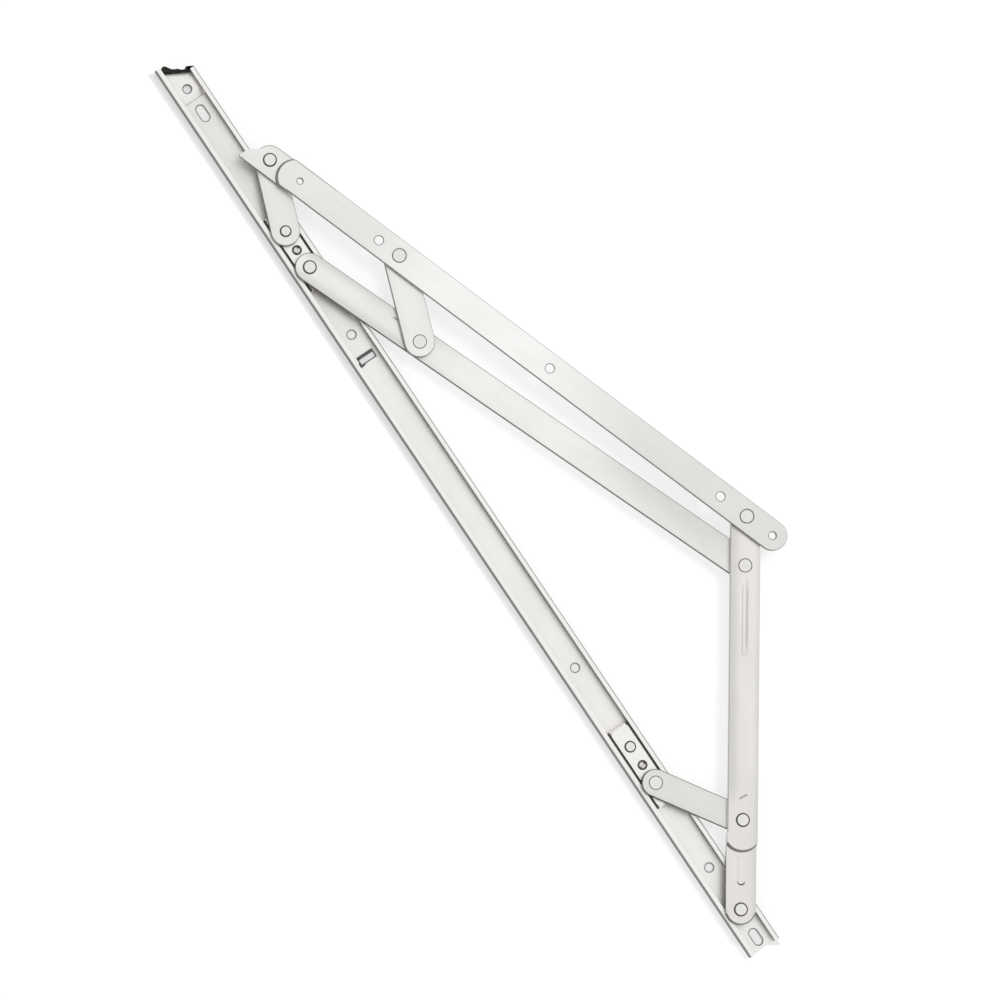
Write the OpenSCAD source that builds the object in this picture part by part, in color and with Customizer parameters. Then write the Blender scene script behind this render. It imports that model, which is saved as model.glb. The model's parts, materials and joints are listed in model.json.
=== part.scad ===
// Friction stay for a top hung or side hung window, right hand, 22 inch.
// The track lies along X with its back on Z = 0 and the fixed pivot at the origin.
// Every pivot axis is parallel to Z. The bars stack in three layers above the track.

/* [Linkage] */
// Angle between the short arm and the track, as shown
open_angle = 35; // [30:0.5:37]
// Fixed pivot to long arm pivot, along the short arm
elbow_r = 183; // [176:0.5:190]
// Long arm pivot to sash arm pivot, along the short arm
sash_pivot_gap = 26; // [22:0.5:32]
// Fixed pivot to friction link pivot, along the short arm
brake_r = 47.3; // [45:0.1:49]
// Pivot to pivot length of the friction link
brake_link_len = 50.2; // [48:0.1:54]
// Slide pivot to middle link pivot, along the long arm
long_arm_low = 70.4; // [64:0.2:76]
// Middle link pivot to short arm pivot, along the long arm
long_arm_high = 210.6; // [204:0.2:216]
// Distance between the two pivots of the upper slide
slide_pitch = 23; // [20:0.5:26]
// Tip pivot to middle link pivot, along the sash arm
sash_low = 85.3; // [78:0.1:92]
// Middle link pivot to short arm pivot, along the sash arm
sash_high = 231.4; // [226:0.2:238]

/* [Bars] */
// Thickness of every bar
bar_t = 3; // [2.6:0.1:3.4]
// Gap between two layers of bars
layer_gap = 0.6; // [0.5:0.05:0.8]
// Chamfer along the edges of the bars
edge_break = 0.35; // [0.2:0.05:0.5]
// Width of the short arm
short_arm_w = 16.2; // [14:0.2:18]
// Width of the sash arm
sash_arm_w = 16; // [14:0.2:18]
// Width of the long arm
long_arm_w = 15.6; // [14:0.2:17]
// Width of the top link
top_link_w = 15.6; // [14:0.2:17]
// Width of the middle link
middle_link_w = 16.4; // [14:0.2:18]
// Width of the friction link
brake_link_w = 14.7; // [13:0.1:16]
// Sash arm from its last pivot to the centre of its round end
sash_tail = 17.2; // [14:0.2:22]
// How far the beak reaches past the tip pivot
beak_len = 14.8; // [13:0.1:16]

/* [Joggles and ribs] */
// Radius of the curved joggle line of the short arm
short_joggle_r = 9.6; // [9.2:0.1:12]
// Fixed pivot to the crown of the joggle of the short arm
short_joggle_x = 31.4; // [28:0.2:33]
// Radius of the curved joggle line of the sash arm
sash_joggle_r = 9.3; // [8.6:0.1:11]
// Tip pivot to the crown of the joggle of the sash arm
sash_joggle_x = 7.2; // [7:0.1:9]
// Length over which a joggle changes level
joggle_run = 1.2; // [0.9:0.1:1.6]
// Depth of the pressed grooves and ribs
rib_depth = 0.4; // [0.2:0.05:0.6]
// Width of the pressed groove of the short arm at its low end
groove_w = 4.2; // [3:0.1:5]
// Fixed pivot to the end of the low groove
groove_end_x = 12.7; // [11:0.1:15]
// Width of the crescent shaped cut at the end of the low groove
crescent_w = 0.8; // [0.5:0.1:1.2]
// Depth of the crescent shaped cut
crescent_h = 1.4; // [0.8:0.1:1.8]
// Fixed pivot to the nick above the friction link
nick_x = 59.7; // [57:0.1:70]
// Length of the nick
nick_len = 4.8; // [2:0.1:6]
// Depth of the nick
nick_h = 0.5; // [0.3:0.1:0.8]
// Direction of the nick across the short arm
nick_turn = -62; // [-90:1:0]
// Fixed pivot to the start of the upper groove
upper_groove_x = 135; // [120:1:140]
// Width of the upper groove
upper_groove_w = 3; // [2:0.1:4]
// Length of the upper groove
upper_groove_len = 38; // [24:1:38]
// Width of the flat rib along the low part of the long arm
long_rib_w = 7.6; // [5:0.2:9]
// Height of the flat rib
long_rib_h = 0.2; // [0.1:0.05:0.2]
// Width of each sloping side of the flat rib
long_rib_slope = 1; // [0.4:0.1:1.4]
// Distance from the flat rib to the pivots at its ends
long_rib_gap = 10; // [8.5:0.5:14]

/* [Track] */
// Fixed pivot to the upper end of the track, on its outer side
track_up = 543; // [540:0.5:570]
// How much shorter the inner side of the slanting upper end is
track_skew = 9.5; // [6:0.5:11]
// Fixed pivot to the lower end of the track
track_down = 24.3; // [23:0.1:40]
// Outer width of the track
track_w = 18.6; // [18:0.1:22]
// Height of the track over its lips
track_h = 7; // [6.6:0.1:8]
// Thickness of the track sheet
sheet = 1.2; // [1:0.05:1.3]
// Width of each lip
lip_w = 2.6; // [2.2:0.1:2.8]
// Outer radius of the bends of the track
bend_r = 1; // [0.6:0.1:1.4]
// Upper end of the track to the screw hole through the end cap
cap_hole_in = 17.1; // [16:0.1:18]
// Upper end of the track to the middle of the upper slotted hole
upper_slot_in = 32.3; // [31:0.1:36]
// Place of the screw hole above the stop
upper_hole_x = -368.8; // [-372:0.1:-364]
// Place of the middle screw hole
middle_hole_x = -155.3; // [-180:0.1:-130]
// Place of the lower screw hole
lower_hole_x = -27.3; // [-32:0.1:-20]
// Lower end of the track to the middle of the lower slotted hole
slot_in = 7.1; // [6.4:0.1:8]
// Diameter of the screw holes of the track
screw_hole_d = 4.2; // [3.6:0.1:4.6]
// Length of the slotted holes over their round ends
slot_len = 9; // [7:0.1:10]
// Width of the broken edge round the holes of the track
mouth = 0.5; // [0.2:0.05:0.6]
// Place of the bent up stop
stop_x = -355.2; // [-358:0.1:-345]
// Width of the bent up stop
stop_w = 8.8; // [6:0.1:10]
// Height of the bent up stop
stop_h = 4; // [3:0.1:4.4]

/* [End cap] */
// Upper end of the track to the lower end of the end cap
cap_reach = 24.1; // [23:0.1:26]
// Distance from the end cap to the slanting end of the track
cap_inset = 2; // [1.8:0.1:3.2]
// Thickness of the end cap
cap_t = 1.7; // [1.2:0.1:2.4]
// Length of the ramp at the lower end of the end cap
cap_ramp = 4; // [3:0.1:4.4]
// Thickness of the toe of the ramp
cap_toe = 0.4; // [0.3:0.1:0.8]
// Clearance of the end cap and the buffer inside the track
cap_clear = 0.1; // [0.05:0.01:0.2]
// Gap between the buffer and the lips
buffer_gap = 0.6; // [0.3:0.1:1]
// Thickness of the ear of the buffer, which covers the end of the inner lip
buffer_ear_t = 0.8; // [0.6:0.1:1.2]

/* [Slides] */
// Side clearance of the upper shoe in the track
upper_side_clear = 1.3; // [1.25:0.05:1.5]
// Side clearance of the lower shoe in the track
lower_side_clear = 0.3; // [0.2:0.05:0.6]
// Clearance of a slide above and below
slide_clear = 0.3; // [0.2:0.05:0.4]
// Thickness of the slide plates under the lips
plate_t = 1.4; // [1:0.1:1.6]
// Gap between a lip and the raised land of a slide plate
land_gap = 1.4; // [1.3:0.05:1.6]
// Top of the land below the top of the lips
land_drop = 0.2; // [0.1:0.05:0.5]
// Distance from the ends of a slide plate to its land
land_inset = 0.8; // [0.4:0.1:1.6]
// Upper slide, from its first pivot to its upper end
upper_shoe_up = 11.5; // [8:0.5:14]
// Upper slide, from its second pivot to its lower end
upper_shoe_down = 10.9; // [8:0.1:14]
// Lower slide, from its pivot to its upper end
lower_shoe_up = 35.6; // [32:0.2:40]
// Lower slide, from its pivot to its lower end
lower_shoe_down = 12.4; // [8:0.2:15]
// Lower slide, from its pivot to the friction screw
lower_screw_back = 11.6; // [10.5:0.1:13]
// Lower slide, from its pivot to the rivet that holds the shoe
shoe_rivet_back = 23.3; // [20:0.1:27]
// Radius of the spacer collars
collar_r = 4.9; // [4.4:0.1:5]
// Radius of the corners of the slides
slide_corner_r = 2; // [1:0.1:3]
// Radius of the friction screws
friction_screw_r = 2.7; // [2.2:0.1:3]
// Width of the screwdriver slot of the friction screws
slot_w = 0.9; // [0.6:0.1:1.2]
// Depth of the screwdriver slot
slot_depth = 0.8; // [0.5:0.1:1.2]
// Direction of the screwdriver slot of the upper slide
upper_slot_turn = 35; // [0:5:90]
// Direction of the screwdriver slot of the lower slide
lower_slot_turn = 20; // [0:5:90]

/* [Rivets] */
// Radius of the rivet shanks
shank_r = 2.5; // [2:0.1:2.8]
// Radial running clearance of a shank in its hole
pivot_clear = 0.05; // [0.02:0.01:0.1]
// Radial clearance of the two open pivots on the sash arm
open_clear = 0.6; // [0.5:0.05:0.8]
// Radius of the rivet heads
head_r = 3.8; // [3.4:0.1:4.2]
// Radius of the head of the upper rivet of the upper slide
small_head_r = 3.2; // [2.9:0.1:3.6]
// Height of a domed head
dome_h = 1.1; // [0.7:0.1:1.2]
// Thickness of the flat heads and tails
flat_h = 0.3; // [0.2:0.05:0.35]
// Depth of the seats that take flush heads
seat_h = 0.6; // [0.4:0.05:0.8]
// Gap round a flush head in the face of the sash arm
seat_gap = 0.35; // [0.1:0.05:0.6]
// Width of the broken edge of a flat or flush head
head_break = 0.25; // [0.1:0.05:0.25]
// Radius of the thin washers
washer_r = 6; // [5:0.1:6.8]

/* [Sash arm screw holes] */
// Tip pivot to the first screw hole
sash_hole_a = 71.8; // [66:0.1:74]
// Tip pivot to the second screw hole
sash_hole_b = 185.3; // [150:0.1:220]
// Tip pivot to the third screw hole
sash_hole_c = 299.1; // [280:0.1:304]
// Diameter of the screw holes of the sash arm
sash_screw_d = 4.8; // [4:0.1:5.2]
// Diameter of the countersinks on the track side
sash_csk_d = 8; // [7:0.1:8.6]
// Diameter of the small hole in the round end
end_hole_d = 4; // [3:0.1:4.4]
// Tip pivot to the small pilot hole
pilot_x = 19.5; // [18.5:0.1:26]
// Diameter of the small pilot hole
pilot_d = 3.2; // [2.4:0.1:3.6]
// Width of the broken edge on top of these holes
sash_mouth = 0.35; // [0.1:0.05:0.5]

/* [Hidden] */
$fn = 64;

steel = [0.80, 0.80, 0.78];
bright_steel = [0.86, 0.86, 0.84];
dark_steel = [0.30, 0.30, 0.30];
nylon = [0.90, 0.89, 0.84];
brass = [0.78, 0.66, 0.38];
rubber = [0.10, 0.09, 0.08];

// Levels of the layers
skin = 0.02;
air = 0.05;
level_1 = track_h + layer_gap;
level_2 = level_1 + bar_t + layer_gap;
level_3 = level_2 + bar_t + layer_gap;
stack_top = level_3 + bar_t;
drop = bar_t + layer_gap;
hole_r = shank_r + pivot_clear;
open_hole_r = shank_r + open_clear;

// Places of the pivots, worked out from the lengths
function polar(from, a, d) = [from[0] + d * cos(a), from[1] + d * sin(a)];
function heading(from, to) = atan2(to[1] - from[1], to[0] - from[0]);
// Crossing of two circles, on the right of the way from p to q
function crossing(p, pr, q, qr) =
    let (
        d = norm(q - p),
        along = (pr * pr - qr * qr + d * d) / (2 * d),
        aside = sqrt(max(pr * pr - along * along, 0)),
        a = heading(p, q)
    )
    polar(polar(p, a, along), a + 90, aside);
// A pivot on the centre line of the track, reached by a link of this length from p
function slide_point(p, len) = [p[0] - sqrt(len * len - p[1] * p[1]), 0];

sash_pivot_r = elbow_r + sash_pivot_gap;
fixed = [0, 0];
arm_angle = 180 - open_angle;
brake = polar(fixed, arm_angle, brake_r);
elbow = polar(fixed, arm_angle, elbow_r);
sash_pivot = polar(fixed, arm_angle, sash_pivot_r);
long_arm_len = long_arm_low + long_arm_high;
slide_low = slide_point(elbow, long_arm_len);
slide_high = [slide_low[0] - slide_pitch, 0];
long_angle = heading(slide_low, elbow);
crank = polar(slide_low, long_angle, long_arm_low);
// Closed, all bars lie in one line, which gives the length of the middle link
middle_link_len = sash_pivot_gap + sash_high - long_arm_high;
sash_joint = crossing(crank, middle_link_len, sash_pivot, sash_high);
sash_angle = heading(sash_joint, sash_pivot);
sash_tip = polar(sash_joint, sash_angle + 180, sash_low);
middle_angle = heading(crank, sash_joint);
top_link_len = norm(sash_tip - slide_high);
top_angle = heading(slide_high, sash_tip);
lower_pivot = slide_point(brake, brake_link_len);
brake_angle = heading(lower_pivot, brake);
sash_arm_len = sash_low + sash_high;

// Places of the holes that are measured from the ends of the track
cap_hole_x = -track_up + cap_hole_in;
upper_slot_x = -track_up + upper_slot_in;
slot_x = track_down - slot_in;

// Levels inside the track
end_slant = atan(track_skew / track_w);
inner_w = track_w - 2 * sheet;
opening_w = track_w - 2 * lip_w;
lip_z = track_h - sheet;
plate_top = lip_z - slide_clear;
plate_z = plate_top - plate_t;
land_top = track_h - land_drop;
shoe_z = sheet + slide_clear;
screw_foot_z = shoe_z + 0.2;
screw_top_z = track_h - 0.4;

// Puts a piece with its first pivot at p, turned to angle a
module place(p, a = 0) {
    translate([p[0], p[1], 0])
        rotate(a)
            children();
}

// Rectangle with round corners, centred, drawn flat
module round_rect(l, w, r) {
    square([l - 2 * r, w], center = true);
    square([l, w - 2 * r], center = true);
    for (sx = [-1, 1], sy = [-1, 1])
        translate([sx * (l / 2 - r), sy * (w / 2 - r)])
            circle(r);
}

// Straight part of a bar, with broken edges
module bar_run(x0, x1, w, z) {
    h = w / 2;
    c = edge_break;
    translate([x0, 0, z])
        rotate([90, 0, 90])
            linear_extrude(x1 - x0)
                polygon([
                    [-h + c, 0], [h - c, 0], [h, c], [h, bar_t - c],
                    [h - c, bar_t], [-h + c, bar_t], [-h, bar_t - c], [-h, c]
                ]);
}

// Half round end of a bar, with broken edges, pointing along the angle a
module bar_end(x, w, z, a = 0) {
    h = w / 2;
    c = edge_break;
    translate([x, 0, z])
        rotate(a - 90)
            rotate_extrude(angle = 180)
                polygon([
                    [0, 0], [h - c, 0], [h, c],
                    [h, bar_t - c], [h - c, bar_t], [0, bar_t]
                ]);
}

// Flat bar with a round end about each of two pivots
module flat_bar(len, w, z) {
    bar_run(0, len, w, z);
    bar_end(len, w, z, 0);
    bar_end(0, w, z, 180);
}

// Solid of revolution whose level drops from z to z - drop along a circle of radius r
module joggle_ring(r, z, reach) {
    slope = atan2(drop, joggle_run);
    under = bar_t * tan(slope / 2);
    rotate_extrude()
        polygon([
            [0, z], [r - under, z], [r - under + joggle_run, z - drop], [reach, z - drop],
            [reach, z - drop + bar_t], [r + joggle_run, z - drop + bar_t],
            [r, z + bar_t], [0, z + bar_t]
        ]);
}

// Round hole down through everything, at x along a bar
module pin_hole(x, r) {
    translate([x, 0, -1])
        cylinder(r = r, h = stack_top + 2);
}

// Spherical cap of radius r and height h, as points from the rim to the axis
function cap_points(r, h, z, steps = 6) =
    let (
        ball = (r * r + h * h) / (2 * h),
        edge = asin(r / ball)
    )
    [for (i = [0 : steps]) let (a = edge * (1 - i / steps)) [ball * sin(a), z + h - ball * (1 - cos(a))]];

// Rivet with a tail below z0, a shank up to z1 and a domed head above it
module domed_rivet(z0, z1, tail_h, rim_r) {
    rim_h = 0.35 * dome_h;
    rotate_extrude()
        polygon(concat(
            [[0, z0 - tail_h], [head_r, z0 - tail_h], [head_r, z0], [shank_r, z0], [shank_r, z1], [rim_r, z1]],
            cap_points(rim_r, dome_h - rim_h, z1 + rim_h)
        ));
}

// Rivet with flat ends and a broken edge on top
module flat_rivet(z0, z1, tail_h, top_h) {
    c = min(head_break, top_h - skin);
    rotate_extrude()
        polygon([
            [0, z0 - tail_h], [head_r, z0 - tail_h], [head_r, z0], [shank_r, z0],
            [shank_r, z1], [head_r, z1], [head_r, z1 + top_h - c],
            [head_r - c, z1 + top_h], [0, z1 + top_h]
        ]);
}

// Thin washer
module washer(z, t, r = washer_r) {
    translate([0, 0, z])
        difference() {
            cylinder(r = r, h = t);
            translate([0, 0, -1])
                cylinder(r = hole_r, h = t + 2);
        }
}

// Hole of diameter d through the upper part of the sash arm, with a broken edge on top
module sash_hole(x, d) {
    pin_hole(x, d / 2);
    translate([x, 0, stack_top - sash_mouth])
        cylinder(d1 = d, d2 = d + 2 * sash_mouth + 2 * skin, h = sash_mouth + skin);
}

// Countersunk screw hole of the sash arm, wide side below
module sunk_hole(x) {
    depth = (sash_csk_d - sash_screw_d) / 2;
    sash_hole(x, sash_screw_d);
    translate([x, 0, level_3 - skin])
        cylinder(d1 = sash_csk_d + 2 * skin, d2 = sash_screw_d, h = depth + skin);
}

// Round hole through the floor of the track, with a broken edge on top
module floor_hole(x) {
    translate([x, 0, -1])
        cylinder(d = screw_hole_d, h = sheet + 2);
    translate([x, 0, sheet - mouth])
        cylinder(d1 = screw_hole_d, d2 = screw_hole_d + 2 * mouth + 2 * skin, h = mouth + skin);
}

// Slotted hole through the floor of the track, with a broken edge on top
module floor_slot(x) {
    half = screw_hole_d / 2;
    run = slot_len - screw_hole_d;
    translate([x - run / 2, 0, 0])
        rotate([90, 0, 90])
            linear_extrude(run)
                polygon([
                    [-half, -1], [half, -1], [half, sheet - mouth], [half + mouth + skin, sheet + skin],
                    [-half - mouth - skin, sheet + skin], [-half, sheet - mouth]
                ]);
    for (side = [-1, 1])
        floor_hole(x + side * run / 2);
}

// Everything beyond a line parallel to the slanting upper end of the track
module beyond_end(inset) {
    reach = 2 * track_w;
    translate([-track_up + inset, -track_w / 2, -1])
        rotate(-end_slant)
            translate([-reach, -track_w / 2, 0])
                cube([reach, 2 * track_w, track_h + 2]);
}

// Rolled channel with inturned lips, open upwards
module channel() {
    len = track_up + track_down;
    translate([-track_up, 0, 0])
        rotate([90, 0, 90])
            linear_extrude(len)
                difference() {
                    translate([0, track_h / 2])
                        round_rect(track_w, track_h, bend_r);
                    translate([0, track_h / 2])
                        square([inner_w, track_h - 2 * sheet], center = true);
                    translate([-opening_w / 2, lip_z - 1])
                        square([opening_w, sheet + 2]);
                }
}

module track() {
    stop_gap = stop_h - sheet;
    color(steel)
        difference() {
            union() {
                channel();
                translate([stop_x - sheet, -stop_w / 2, sheet - skin])
                    cube([sheet, stop_w, stop_h - sheet + skin]);
            }
            for (x = [cap_hole_x, upper_hole_x, middle_hole_x, lower_hole_x])
                floor_hole(x);
            for (x = [upper_slot_x, slot_x])
                floor_slot(x);
            translate([stop_x, -stop_w / 2, -1])
                cube([stop_gap, stop_w, sheet + 2]);
            translate([0, 0, -1])
                cylinder(r = hole_r, h = sheet + 2);
            translate([0, 0, -1])
                cylinder(r = head_r + pivot_clear, h = seat_h + 1);
            beyond_end(0);
        }
}

// Cast plate on the floor of the upper end, with a ramp towards the slide
module end_cap() {
    floor_z = sheet + cap_clear;
    far_x = -track_up + cap_reach;
    cap_w = inner_w - 2 * cap_clear;
    color(bright_steel)
        difference() {
            translate([0, cap_w / 2, floor_z])
                rotate([90, 0, 0])
                    linear_extrude(cap_w)
                        polygon([
                            [-track_up, 0], [far_x, 0], [far_x, cap_toe],
                            [far_x - cap_ramp, cap_t], [-track_up, cap_t]
                        ]);
            translate([cap_hole_x, 0, 0])
                cylinder(d = screw_hole_d, h = track_h);
            translate([cap_hole_x, 0, floor_z + cap_t - mouth])
                cylinder(d1 = screw_hole_d, d2 = screw_hole_d + 2 * mouth + 2 * skin, h = mouth + skin);
            beyond_end(cap_inset);
        }
}

// Rubber buffer pressed against the end cap: a wavy strip, thick at its outer end, with an
// ear over the end of the inner lip. Each point is a place across the track, 1 at the edge of
// the strip, and how far the strip stands out past the slanting end there.
module end_buffer() {
    wave = [
        [-1, 0.9], [-0.8, 2], [-0.62, 2], [-0.45, 1], [-0.3, 0], [-0.1, -0.3],
        [0.15, -0.1], [0.3, -0.5], [0.5, -1.2], [0.65, -0.9], [0.8, -0.6]
    ];
    floor_z = sheet + cap_clear;
    half = opening_w / 2 - buffer_gap;
    lip = track_w / 2 / half;
    ear = [[0.9, buffer_ear_t], [lip, buffer_ear_t], [lip, 0], [1, 0]];
    back = [[1, -cap_inset], [-1, -cap_inset]];
    slope = track_skew / track_w;
    color(rubber)
        translate([-track_up + track_skew / 2, 0, floor_z])
            linear_extrude(track_h - floor_z)
                polygon([for (p = concat(wave, ear, back)) [half * p[0] * slope - p[1], half * p[0]]]);
}

module fixed_pivot_collar() {
    color(bright_steel)
        washer(sheet, level_1 - sheet - air, collar_r);
}

module fixed_pivot_rivet() {
    color(bright_steel)
        domed_rivet(seat_h, level_1 + bar_t + air, seat_h, head_r);
}

// Groove pressed into the top of a bar, round at its low end and, if asked, at its high end
module groove(x0, x1, w, top, round_far = true) {
    ball = (w * w / 4 + rib_depth * rib_depth) / (2 * rib_depth);
    translate([0, 0, top + ball - rib_depth]) {
        translate([x0 + w / 2, 0, 0])
            rotate([0, 90, 0])
                cylinder(r = ball, h = x1 - x0 - w);
        translate([x0 + w / 2, 0, 0])
            sphere(ball);
        if (round_far)
            translate([x1 - w / 2, 0, 0])
                sphere(ball);
    }
}

module short_arm() {
    h = short_arm_w / 2;
    mid = short_joggle_x + short_joggle_r;
    color(steel)
        place(fixed, arm_angle)
            difference() {
                union() {
                    bar_run(mid, sash_pivot_r, short_arm_w, level_2);
                    bar_end(sash_pivot_r, short_arm_w, level_2, 0);
                    intersection() {
                        translate([mid, 0, 0])
                            joggle_ring(short_joggle_r, level_2, mid + short_arm_w);
                        translate([0, 0, level_1])
                            linear_extrude(drop + bar_t)
                                translate([0, -h])
                                    square([mid, short_arm_w]);
                    }
                    bar_end(0, short_arm_w, level_1, 180);
                }
                for (x = [0, brake_r, elbow_r, sash_pivot_r])
                    pin_hole(x, hole_r);
                groove(groove_end_x, mid - short_joggle_r - joggle_run, groove_w, level_1 + bar_t, false);
                translate([groove_end_x + groove_w / 2, 0, level_1 + bar_t - crescent_h])
                    difference() {
                        cylinder(d = groove_w, h = crescent_h + 1);
                        translate([crescent_w, 0, -1])
                            cylinder(d = groove_w, h = crescent_h + 3);
                    }
                groove(upper_groove_x, upper_groove_x + upper_groove_len, upper_groove_w, level_2 + bar_t);
                translate([nick_x, 0, level_2 + bar_t])
                    rotate([0, 0, nick_turn])
                        rotate([45, 0, 0])
                            cube([nick_len, nick_h * sqrt(2), nick_h * sqrt(2)], center = true);
            }
}

module short_arm_washers() {
    color(nylon)
        for (p = [brake, elbow])
            place(p)
                washer(level_2 - layer_gap + air, layer_gap - air);
}

module brake_rivet() {
    color(bright_steel)
        place(brake, arm_angle)
            domed_rivet(level_1 - air, level_2 + bar_t, flat_h, head_r);
}

module elbow_rivet() {
    color(bright_steel)
        place(elbow, arm_angle)
            flat_rivet(level_1 - air, level_2 + bar_t, flat_h, flat_h);
}

module long_arm() {
    rib_top_w = long_rib_w - 2 * long_rib_slope;
    color(steel)
        place(slide_low, long_angle)
            difference() {
                union() {
                    flat_bar(long_arm_len, long_arm_w, level_1);
                    translate([long_rib_gap, 0, level_1 + bar_t])
                        rotate([90, 0, 90])
                            linear_extrude(long_arm_low - 2 * long_rib_gap)
                                polygon([
                                    [-long_rib_w / 2, -skin], [long_rib_w / 2, -skin],
                                    [rib_top_w / 2, long_rib_h], [-rib_top_w / 2, long_rib_h]
                                ]);
                }
                for (x = [0, long_arm_low, long_arm_len])
                    pin_hole(x, hole_r);
            }
}

module long_arm_washer() {
    color(nylon)
        place(crank)
            washer(level_1 + bar_t, layer_gap - air);
}

module middle_link_rivet() {
    color(bright_steel)
        place(crank, middle_angle)
            flat_rivet(level_1, level_2 + bar_t + air, flat_h, flat_h - air);
}

// Slide plan, from x0 to x1, drawn flat
module slide_plan(x0, x1, w) {
    translate([(x0 + x1) / 2, 0])
        round_rect(x1 - x0, w, slide_corner_r);
}

upper_w = inner_w - 2 * upper_side_clear;
upper_x0 = slide_high[0] - upper_shoe_up;
upper_x1 = slide_low[0] + upper_shoe_down;
upper_screw_x = (slide_high[0] + slide_low[0]) / 2;

module upper_shoe() {
    color(brass)
        difference() {
            translate([0, 0, shoe_z])
                linear_extrude(plate_z - shoe_z)
                    slide_plan(upper_x0, upper_x1, upper_w);
            for (x = [slide_high[0], slide_low[0]])
                translate([x, 0, 0]) {
                    cylinder(r = hole_r, h = track_h);
                    cylinder(r = head_r + pivot_clear, h = shoe_z + seat_h);
                }
            translate([upper_screw_x, 0, 0])
                cylinder(r = friction_screw_r, h = track_h);
        }
}

// Slide plate from x0 to x1, under the lips, with a raised land between them
module slide_plate(x0, x1, w) {
    translate([0, 0, plate_z])
        linear_extrude(plate_t)
            slide_plan(x0, x1, w);
    translate([0, 0, plate_z])
        linear_extrude(land_top - plate_z)
            slide_plan(x0 + land_inset, x1 - land_inset, opening_w - 2 * land_gap);
}

module upper_slide_plate() {
    color(steel)
        difference() {
            slide_plate(upper_x0, upper_x1, upper_w);
            for (x = [slide_high[0], slide_low[0]])
                translate([x, 0, 0])
                    cylinder(r = hole_r, h = track_h);
            translate([upper_screw_x, 0, 0])
                cylinder(r = friction_screw_r, h = track_h);
        }
}

module upper_slide_collars() {
    color(bright_steel)
        for (p = [slide_high, slide_low])
            place(p)
                washer(land_top, level_1 - land_top - air, collar_r);
}

// Slotted screw that presses the shoe against the track
module slotted_screw() {
    r = friction_screw_r - skin;
    difference() {
        rotate_extrude()
            polygon([
                [0, screw_foot_z], [r, screw_foot_z], [r, screw_top_z - head_break],
                [r - head_break, screw_top_z], [0, screw_top_z]
            ]);
        translate([-slot_w / 2, -friction_screw_r - 1, screw_top_z - slot_depth])
            cube([slot_w, 2 * friction_screw_r + 2, slot_depth + 1]);
    }
}

module upper_friction_screw() {
    color(dark_steel)
        place([upper_screw_x, 0], upper_slot_turn)
            slotted_screw();
}

module top_link_rivet() {
    color(bright_steel)
        place(slide_high, top_angle)
            domed_rivet(shoe_z + seat_h, level_1 + bar_t + air, seat_h, small_head_r);
}

module long_arm_rivet() {
    color(bright_steel)
        place(slide_low, long_angle)
            domed_rivet(shoe_z + seat_h, level_1 + bar_t + air, seat_h, head_r);
}

module top_link() {
    color(steel)
        place(slide_high, top_angle)
            difference() {
                flat_bar(top_link_len, top_link_w, level_1);
                pin_hole(0, hole_r);
                pin_hole(top_link_len, open_hole_r);
            }
}

module middle_link() {
    color(steel)
        place(crank, middle_angle)
            difference() {
                flat_bar(middle_link_len, middle_link_w, level_2);
                pin_hole(0, hole_r);
                pin_hole(middle_link_len, open_hole_r);
            }
}

// Outline of the joggled tip of the sash arm, up to x1: a round shoulder about the pivot
// and a slanted beak on the track side
module tip_outline(x1) {
    h = sash_arm_w / 2;
    circle(r = h);
    translate([0, -h])
        square([x1, sash_arm_w]);
    polygon([
        [0, -h], [0, 0], [-h + 0.3, 0.2 * h], [-beak_len + 2.4, -0.3 * h],
        [-beak_len, -0.9 * h], [-beak_len + 0.9, -h]
    ]);
}

module sash_arm() {
    h = sash_arm_w / 2;
    mid = sash_joggle_x + sash_joggle_r;
    far = sash_arm_len + sash_tail;
    color(steel)
        place(sash_tip, sash_angle)
            difference() {
                union() {
                    bar_run(mid, far, sash_arm_w, level_3);
                    bar_end(far, sash_arm_w, level_3, 0);
                    intersection() {
                        translate([mid, 0, 0])
                            joggle_ring(sash_joggle_r, level_3, mid + beak_len + h);
                        translate([0, 0, level_2])
                            linear_extrude(drop + bar_t)
                                tip_outline(mid);
                    }
                }
                for (x = [0, sash_low, sash_arm_len])
                    pin_hole(x, hole_r);
                for (x = [sash_low, sash_arm_len])
                    translate([x, 0, stack_top - seat_h])
                        cylinder(r = head_r + seat_gap, h = seat_h + 1);
                for (x = [sash_hole_a, sash_hole_b, sash_hole_c])
                    sunk_hole(x);
                sash_hole(far, end_hole_d);
                sash_hole(pilot_x, pilot_d);
            }
}

module sash_arm_washers() {
    color(nylon) {
        for (p = [sash_joint, sash_pivot])
            place(p)
                washer(level_3 - layer_gap + air, layer_gap - air);
        place(sash_tip)
            washer(level_2 - layer_gap + air, layer_gap - air);
    }
}

module sash_arm_rivet() {
    color(bright_steel)
        place(sash_pivot, sash_angle)
            flat_rivet(level_2 - air, stack_top - seat_h, flat_h, seat_h);
}

module sash_link_rivet() {
    color(bright_steel)
        place(sash_joint, sash_angle)
            flat_rivet(level_2 - air, stack_top - seat_h, flat_h - air, seat_h);
}

module sash_tip_rivet() {
    color(bright_steel)
        place(sash_tip, sash_angle)
            domed_rivet(level_1 - air, level_2 + bar_t, flat_h, head_r);
}

module friction_link() {
    color(steel)
        place(lower_pivot, brake_angle)
            difference() {
                flat_bar(brake_link_len, brake_link_w, level_1);
                pin_hole(0, hole_r);
                pin_hole(brake_link_len, hole_r);
            }
}

lower_w = inner_w - 2 * lower_side_clear;
lower_x0 = lower_pivot[0] - lower_shoe_up;
lower_x1 = lower_pivot[0] + lower_shoe_down;
lower_screw = [lower_pivot[0] - lower_screw_back, 0];
shoe_rivet = [lower_pivot[0] - shoe_rivet_back, 0];

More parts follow.
